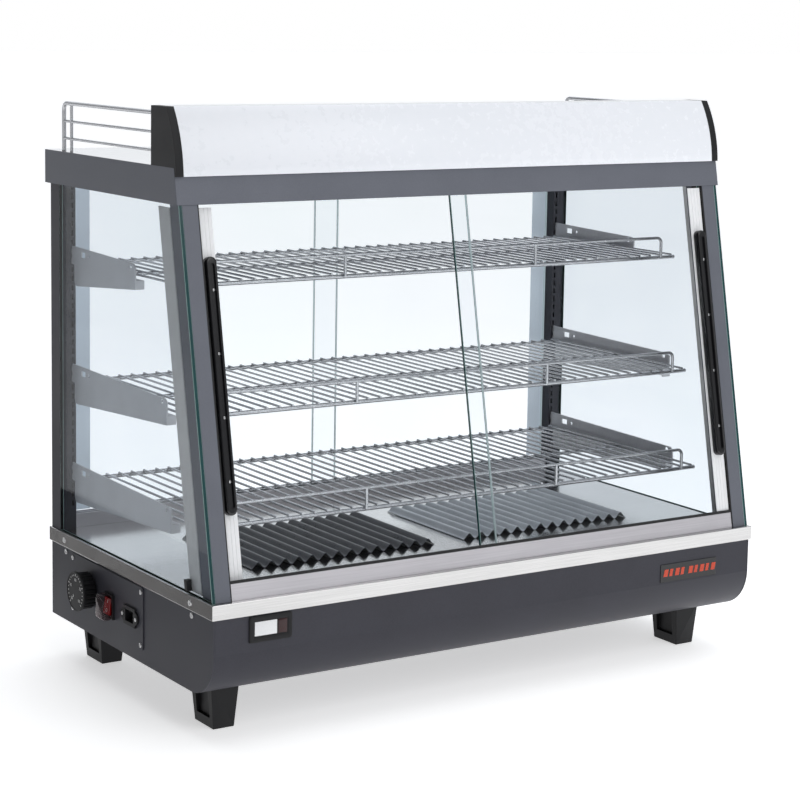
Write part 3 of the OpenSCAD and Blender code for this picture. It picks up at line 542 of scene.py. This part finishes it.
# ---- case screws
screw = {"sideYs": (62, 448), "bandX": 450, "bandZ": 180, "panelX": 447, "panelZ": 163, "plateX": 448.5,
         "plateYs": (206, 422), "plateZs": (87, 160), "rearXs": (-435, 435), "rearY": 497,
         "rearZs": (74, 158), "head": 1.5, "big": 8, "small": 7}
bm = bmesh.new()
for side in (-1, 1):
    for y in screw["sideYs"]:
        addPanHead(bm, at(side * screw["bandX"], y, screw["bandZ"]), (side, 0, 0), screw["big"],
                   screw["head"])
        addPanHead(bm, at(side * screw["panelX"], y, screw["panelZ"]), (side, 0, 0), screw["big"],
                   screw["head"], turn=0.2)
for y in screw["plateYs"]:
    for z in screw["plateZs"]:
        addPanHead(bm, at(-screw["plateX"], y, z), (-1, 0, 0), screw["small"], screw["head"],
                   turn=y * 0.01 + z)
for x in screw["rearXs"]:
    for z in screw["rearZs"]:
        addPanHead(bm, at(x, screw["rearY"], z), (0, 1, 0), screw["big"], screw["head"], turn=z)
makePiece("case_screw_heads", bm, ("nickelScrew",), "case", ("case_screws",), smoothUnder=40)


# ---- corrugated heater covers
cover = {"x": (25, 320), "y": (135, 335), "low": 190.3, "waves": 14, "high": 8, "thick": 1.2, "perWave": 20,
         "rows": 10}
for side, body in ((-1, "left_heater_cover"), (1, "right_heater_cover")):
    steps = cover["waves"] * cover["perWave"]
    x0 = -cover["x"][1] if side < 0 else cover["x"][0]
    span = cover["x"][1] - cover["x"][0]
    rows = cover["rows"]
    bm = bmesh.new()
    waves = [cover["high"] * (1 - math.cos(2 * math.pi * cover["waves"] * i / steps)) / 2
             for i in range(steps + 1)]
    grid = []
    for thick in (0, cover["thick"]):
        sheetRows = []
        for r in range(rows + 1):
            y = cover["y"][0] + (cover["y"][1] - cover["y"][0]) * r / rows
            sheetRows.append([bm.verts.new(at(x0 + span * i / steps, y, cover["low"] + wave + thick))
                              for i, wave in enumerate(waves)])
        grid.append(sheetRows)
    for layer in grid:
        for r in range(rows):
            for i in range(steps):
                bm.faces.new((layer[r][i], layer[r][i + 1], layer[r + 1][i + 1], layer[r + 1][i]))
    for r in (0, rows):
        for i in range(steps):
            bm.faces.new((grid[0][r][i], grid[0][r][i + 1], grid[1][r][i + 1], grid[1][r][i]))
    for i in (0, steps):
        for r in range(rows):
            bm.faces.new((grid[0][r][i], grid[0][r + 1][i], grid[1][r + 1][i], grid[1][r][i]))
    makePiece(body.replace("_cover", "_corrugated_sheet"), bm,
              ("heatResistantEnamel" if side < 0 else "lighterHeaterSteel",), body, (body,))
print("heater covers made")


# ---- thermostat knob: dial face in a raised rim, fluted grip, printed marks and numerals
dial = {"x": -472, "y": 364, "z": 127, "ring": 21.8, "tickLong": 3.2, "tickWide": 1.1, "sunk": 0.6,
        "print": 0.15,
        "numbers": ("30", "45", "60", "75", "90"), "numberRing": 16.4, "numberSize": 6.2, "ticks": 21,
        "shortTick": 0.55, "firstAngle": 225, "sweep": 270, "bedded": 0.2, "flutes": 24, "fluteDeep": 1.5,
        "steps": 192, "arrow": ((-1.1, 9), (0, 13), (1.1, 9)), "arrowShift": (-7, -18)}


def onDial(u, v, rise=0.0):  # u to the right and v up as one faces the left side
    return at(dial["x"] + dial["sunk"] - rise, dial["y"] - u, dial["z"] + v)


bm = bmesh.new()
grip = (dial["flutes"], dial["fluteDeep"])
addTurned(bm, at(dial["x"], dial["y"], dial["z"]), (1, 0, 0),
          [(dial["sunk"], 0), (dial["sunk"], 26.2), (0.15, 26.6), (0, 27.1), (0.25, 27.8), (0.9, 28),
           (3.2, 28), (3.8, 27.8), (4.1, 27.2), (4.3, 26, *grip), (5, 25.9, *grip), (20.2, 25.6, *grip),
           (21, 25, *grip), (21.4, 24, *grip), (21.5, 4), (18, 3.3)], steps=dial["steps"])
makePiece("thermostat_knob_moulding", bm, ("texturedBlackPlastic",), "thermostat_knob",
          ("thermostat_knob",), smoothUnder=40)
bm = bmesh.new()
for k in range(dial["ticks"]):
    angle = math.radians(dial["firstAngle"] - dial["sweep"] * k / (dial["ticks"] - 1))
    tickEnd = dial["ring"] + dial["tickLong"] * (1 if k % 5 == 0 else dial["shortTick"])
    corners = []
    for radius, edge in ((dial["ring"], -1), (dial["ring"], 1), (tickEnd, 1), (tickEnd, -1)):
        half = dial["tickWide"] / 2 * edge
        corners.append((radius * math.cos(angle) - half * math.sin(angle),
                        radius * math.sin(angle) + half * math.cos(angle)))
    addPrism(bm, corners, lambda p: onDial(p[0], p[1], -dial["bedded"]),
             lambda p: onDial(p[0], p[1], dial["print"]))
for k, number in enumerate(dial["numbers"]):
    angle = math.radians(dial["firstAngle"] - dial["sweep"] * k / (len(dial["numbers"]) - 1))
    letters = bpy.data.curves.new("numeral", "FONT")
    letters.body = number
    letters.size = dial["numberSize"]
    letters.align_x = "CENTER"
    letters.align_y = "CENTER"
    letters.resolution_u = 3
    drawn = bpy.data.objects.new("numeral", letters)
    flat = bpy.data.meshes.new_from_object(drawn)
    start = len(bm.verts)
    bm.from_mesh(flat)
    bm.verts.ensure_lookup_table()
    u0, v0 = dial["numberRing"] * math.cos(angle), dial["numberRing"] * math.sin(angle)
    for vert in bm.verts[start:]:
        vert.co = onDial(u0 + vert.co.x, v0 + vert.co.y, dial["print"])
    bpy.data.objects.remove(drawn)
    bpy.data.curves.remove(letters)
    bpy.data.meshes.remove(flat)
arrow = [(u + dial["arrowShift"][0], v + dial["arrowShift"][1]) for u, v in dial["arrow"]]
addPrism(bm, arrow, lambda p: onDial(p[0], p[1], -dial["bedded"]),
         lambda p: onDial(p[0], p[1], dial["print"]))
makePiece("thermostat_dial_marks", bm, ("whitePrint",), "thermostat_knob", smoothUnder=10)


# ---- rocker marks, inlet screws, switch cover
rocker = {"x": -449.5, "y": 300, "z": 119, "thick": 8, "tip": math.radians(9), "print": 0.12, "bedded": 0.2,
          "bar": ((-0.6, 4), (0.6, 4), (0.6, 8.4), (-0.6, 8.4)), "ring": (1.7, 2.6), "ringV": -6,
          "ringSteps": 32}


def onRocker(u, v, rise=0.0):  # the rocker's outer face, tipped about its pin
    face = Vector((-(rocker["thick"] / 2 + rise), -u, v))
    turned = Matrix.Rotation(rocker["tip"], 3, "Y") @ face
    return at(rocker["x"], rocker["y"], rocker["z"]) + turned * mm


bm = bmesh.new()
marks = [rocker["bar"]]
inner, outer = rocker["ring"]
for i in range(rocker["ringSteps"]):
    t0, t1 = (2 * math.pi * k / rocker["ringSteps"] for k in (i, i + 1))
    marks.append([(r * math.cos(t), r * math.sin(t) + rocker["ringV"])
                  for r, t in ((inner, t0), (outer, t0), (outer, t1), (inner, t1))])
for corners in marks:
    addPrism(bm, corners, lambda p: onRocker(p[0], p[1], -rocker["bedded"]),
             lambda p: onRocker(p[0], p[1], rocker["print"]))
makePiece("power_rocker_marks", bm, ("whitePrint",), "power_rocker", smoothUnder=10)
bm = bmesh.new()
inletScrew = {"x": -451.5, "ys": (216, 256), "z": 120, "wide": 5.5, "high": 1.2}
for y in inletScrew["ys"]:
    addPanHead(bm, at(inletScrew["x"], y, inletScrew["z"]), (-1, 0, 0), inletScrew["wide"],
               inletScrew["high"])
makePiece("inlet_screw_heads", bm, ("nickelScrew",), "case", smoothUnder=40)
# a clear soft cover over the switch, an outer and an inner skin
switchCover = {"y": (285.5, 314.5), "z": (101.5, 136.5), "x": (-466, -451.8), "round": 4.5, "skin": 0.7}
bm = bmesh.new()
for shrink in (0, switchCover["skin"]):
    low = at(switchCover["x"][0] + shrink, switchCover["y"][0] + shrink, switchCover["z"][0] + shrink)
    high = at(switchCover["x"][1], switchCover["y"][1] - shrink, switchCover["z"][1] - shrink)
    addBox(bm, low, high, (switchCover["round"] - shrink) * mm, steps=4)
makePiece("switch_splash_cover", bm, ("clearPvcCover",), "case", smoothUnder=40)
print("controls made")


# ---- temperature display: a light and a dark red window, and a rounded rim round both
display = {"y": (0.8, 1.6), "z": (142, 160.5), "round": 0.15}
windows = {
    "display_light_window": (-388.5, -356, "whiteEnamel", "white_plastic"),
    "display_red_window": (-354, -341, "redFilterAcrylic", "red_plastic"),
}
for windowName, (left, right, finishName, slotName) in windows.items():
    bm = bmesh.new()
    addBox(bm, at(left, display["y"][0], display["z"][0]), at(right, display["y"][1], display["z"][1]),
           display["round"] * mm)
    makePiece(windowName, bm, (finishName,), "case")
rim = {"outer": (-396.4, -333.6, 133.6, 168.4), "inner": (-389.5, -340, 141, 161.5), "round": 3.5,
       "innerRound": 1, "steps": 8,
       "section": ((0, 1.5), (0.04, 0.6), (0.18, 0.15), (0.5, 0.05), (0.82, 0.2), (0.96, 0.6), (1, 1.5))}


def roundedLoop(left, right, low, high, radius):
    points = []
    for cx, cz, turn in ((right - radius, high - radius, 0), (left + radius, high - radius, 90),
                         (left + radius, low + radius, 180), (right - radius, low + radius, 270)):
        for i in range(rim["steps"] + 1):
            t = math.radians(turn + 90 * i / rim["steps"])
            points.append((cx + radius * math.cos(t), cz + radius * math.sin(t)))
    return points


bm = bmesh.new()
outer = roundedLoop(*rim["outer"], rim["round"])
inner = roundedLoop(*rim["inner"], rim["innerRound"])
rings = []
for share, depth in rim["section"]:
    rings.append([bm.verts.new(at(a[0] + (b[0] - a[0]) * share, depth, a[1] + (b[1] - a[1]) * share))
                  for a, b in zip(outer, inner)])
for k in range(len(rings)):
    ringA, ringB = rings[k], rings[(k + 1) % len(rings)]
    for i in range(len(ringA)):
        j = (i + 1) % len(ringA)
        bm.faces.new((ringA[i], ringA[j], ringB[j], ringB[i]))
makePiece("display_rim", bm, ("texturedBlackPlastic",), "case", smoothUnder=50)


# ---- badge: plain coloured bars, leaning a little
badge = {"y": (2.2, 1.5), "bars": 9, "x": 285, "pitch": 10.6, "gapAfter": 3, "gap": 4, "wide": 7.4,
         "narrow": 5.6, "z": (133, 143.5), "lean": 2}
bm = bmesh.new()
for k in range(badge["bars"]):
    x0 = badge["x"] + k * badge["pitch"] + (badge["gap"] if k > badge["gapAfter"] else 0)
    x1 = x0 + (badge["wide"] if k % 2 == 0 else badge["narrow"])
    low, high = badge["z"]
    addPrism(bm, [(x0, low), (x1, low), (x1 + badge["lean"], high), (x0 + badge["lean"], high)],
             lambda p: at(p[0], badge["y"][0], p[1]), lambda p: at(p[0], badge["y"][1], p[1]))
makePiece("badge_bars", bm, ("orangeRedPrint",), "case")


# ---- seals: two along the lower track and one down each front post
seals = {  # two ends across, two depths behind the slanted face, two heights along it
    "lower_track_seal": ((-418, 418), (0.9, 3.1), (21.2, 25.2)),
    "lower_track_gasket": ((-419, 419), (2.2, 5.5), (-0.9, 2.6)),
    "front_left_post_seal": ((-418.2, -420.2), (0.6, 22), (4, 509)),
    "front_right_post_seal": ((418.2, 420.2), (0.6, 22), (4, 509)),
}
for sealName, ((x0, x1), (n0, n1), (s0, s1)) in seals.items():
    bm = bmesh.new()
    addPrism(bm, [(x0, n0), (x1, n0), (x1, n1), (x0, n1)],
             lambda p: onSlope(p[0], p[1], s0), lambda p: onSlope(p[0], p[1], s1))
    makePiece(sealName, bm, ("blackRubber",), "case", smoothUnder=20)
# black clips at the foot of each side glass clamp strip
clip = {"out": 449.4, "in": 441, "n": (62, 69), "s": (2, 16)}
bm = bmesh.new()
for side in (-1, 1):
    addPrism(bm, [(side * clip["out"], clip["n"][0]), (side * clip["in"], clip["n"][0]),
                  (side * clip["in"], clip["n"][1]), (side * clip["out"], clip["n"][1])],
             lambda p: onSlope(p[0], p[1], clip["s"][0] + p[1] * math.tan(tilt)),
             lambda p: onSlope(p[0], p[1], clip["s"][1] + p[1] * math.tan(tilt)))
makePiece("side_glass_clips", bm, ("blackRubber",), "case", smoothUnder=20)
print("seals made")


# ---- floor, light and camera
studio = {"floorHalf": 40, "floorGlow": 0.54, "floorLight": "#fbfbfb", "floorDark": "#f4f4f5"}
finishes["paleFloor"] = grainedFinish("paleFloor", {
    # matt painted studio floor
    "light": studio["floorLight"], "dark": studio["floorDark"], "grainMm": 3, "patchMm": 900,
    "rough": (0.7, 0.8), "reliefMm": 0.02, "relief": 0.05,
    "shader": {"Specular IOR Level": 0.1, "Emission Color": (1, 1, 1, 1),
               "Emission Strength": studio["floorGlow"]}})
floorMesh = bpy.data.meshes.new("studio_floor")
bm = bmesh.new()
half = studio["floorHalf"]
bm.faces.new([bm.verts.new((half * x, half * y, 0)) for x, y in ((-1, -1), (1, -1), (1, 1), (-1, 1))])
bm.to_mesh(floorMesh)
bm.free()
floorMesh.materials.append(finishes["paleFloor"])
floor = bpy.data.objects.new("studio_floor", floorMesh)
scene.collection.objects.link(floor)

# a dark cloth hung at the left of the set and a grey mat before it, so that the left side reads darker
finishes["darkCloth"] = grainedFinish("darkCloth", {
    "light": "#39383a", "dark": "#2e2d2f", "grainMm": 2, "patchMm": 200, "rough": (0.85, 0.95),
    "reliefMm": 0.1, "relief": 0.3, "shader": {"Specular IOR Level": 0.1}})
finishes["greyMat"] = grainedFinish("greyMat", {
    "light": "#7c7a79", "dark": "#6b6968", "grainMm": 2, "patchMm": 200, "rough": (0.85, 0.95),
    "reliefMm": 0.1, "relief": 0.3, "shader": {"Specular IOR Level": 0.1}})
cloth = {"x": -1.9, "y": (-1.4, 3.6), "z": (0.003, 2.8), "folds": 14, "foldSteps": 8, "foldDeep": 0.03}
mat = {"x": (-0.64, -0.9), "y": (0.0, 1.7), "z": 0.004}


def hangCloth(name, finishName, run, corners, foldDeep, showInGloss):
    bm = bmesh.new()
    near, far = [], []
    steps = cloth["folds"] * cloth["foldSteps"]
    for i in range(steps + 1):
        share = i / steps
        fold = foldDeep * math.sin(2 * math.pi * cloth["folds"] * share)
        y = run[0] + (run[1] - run[0]) * share
        near.append(bm.verts.new((corners[0][0] + fold, y, corners[0][1])))
        far.append(bm.verts.new((corners[1][0] + fold, y, corners[1][1])))
    for i in range(len(near) - 1):
        bm.faces.new((near[i], near[i + 1], far[i + 1], far[i]))
    mesh = bpy.data.meshes.new(name)
    bm.to_mesh(mesh)
    bm.free()
    mesh.materials.append(finishes[finishName])
    sheet = bpy.data.objects.new(name, mesh)
    scene.collection.objects.link(sheet)
    sheet.visible_camera = False
    sheet.visible_shadow = False
    sheet.visible_glossy = showInGloss


hangCloth("hung_cloth", "darkCloth", cloth["y"], ((cloth["x"], cloth["z"][0]), (cloth["x"], cloth["z"][1])),
          cloth["foldDeep"], False)
hangCloth("floor_mat", "greyMat", mat["y"], ((mat["x"][0], mat["z"]), (mat["x"][1], mat["z"])), 0, True)

world = bpy.data.worlds.new("studio")
scene.world = world
world.use_nodes = True
sky = world.node_tree
sky.nodes.clear()
direction = addNode(sky, "ShaderNodeTexCoord")
parts = addNode(sky, "ShaderNodeSeparateXYZ", links={"Vector": direction.outputs["Generated"]})
# brightness along each direction: where it starts and ends, and from what to what
slopes = {"Z": (-0.1, 0.8, 0.55, 0.75), "X": (-0.7, 0.25, 0.03, 1.0), "Y": (-0.2, 0.9, 0.8, 1.9)}
strength = None
for axis, limits in slopes.items():
    slope = addNode(sky, "ShaderNodeMapRange", links={"Value": parts.outputs[axis]},
                    values=dict(zip(("From Min", "From Max", "To Min", "To Max"), limits)))
    if strength is None:
        strength = slope
    else:
        strength = addNode(sky, "ShaderNodeMath", settings={"operation": "MULTIPLY"},
                           links={0: strength.outputs[0], 1: slope.outputs[0]})
glow = addNode(sky, "ShaderNodeBackground", values={"Color": toLinear("#f4f7fb")},
               links={"Strength": strength.outputs[0]})
plain = addNode(sky, "ShaderNodeBackground", values={"Color": (1, 1, 1, 1), "Strength": 1.0})
path = addNode(sky, "ShaderNodeLightPath")
chosen = addNode(sky, "ShaderNodeMixShader",
                 links={0: path.outputs["Is Camera Ray"], 1: glow.outputs[0], 2: plain.outputs[0]})
addNode(sky, "ShaderNodeOutputWorld", links={"Surface": chosen.outputs[0]})

# place, width, height and power of each soft light, and where it looks
lights = {
    "frontSoftbox": ((0.4, -3.4, 2.7), 3.2, 2.2, 38, (0, 0, 0.35)),
    "topSoftbox": ((0.2, -0.2, 3.4), 3.0, 3.0, 28, (0, 0, 0.3)),
}
for lightName, (spot, wide, tall, power, target) in lights.items():
    lamp = bpy.data.lights.new(lightName, "AREA")
    lamp.shape = "RECTANGLE"
    lamp.size = wide
    lamp.size_y = tall
    lamp.energy = power
    holder = bpy.data.objects.new(lightName, lamp)
    holder.location = spot
    holder.rotation_euler = (Vector(target) - Vector(spot)).to_track_quat("-Z", "Y").to_euler()
    scene.collection.objects.link(holder)

view = {"place": (-1.7155, -2.63847, 0.93622), "yaw": -33.02, "pitch": 7.48, "roll": 0.94, "focal": 99.07,
        "shiftY": -0.125, "sensor": 36, "clip": (0.05, 60)}
camera = bpy.data.cameras.new("mainCamera")
camera.sensor_width = view["sensor"]
camera.lens = view["focal"]
camera.shift_y = view["shiftY"]
camera.clip_start, camera.clip_end = view["clip"]
cameraStand = bpy.data.objects.new("mainCamera", camera)
cameraStand.matrix_world = (Matrix.Translation(view["place"])
                            @ Matrix.Rotation(math.radians(view["yaw"]), 4, "Z")
                            @ Matrix.Rotation(math.radians(90 - view["pitch"]), 4, "X")
                            @ Matrix.Rotation(math.radians(view["roll"]), 4, "Z"))
scene.collection.objects.link(cameraStand)
scene.camera = cameraStand
scene.view_settings.view_transform = "Standard"
print("stage, lights and camera set")
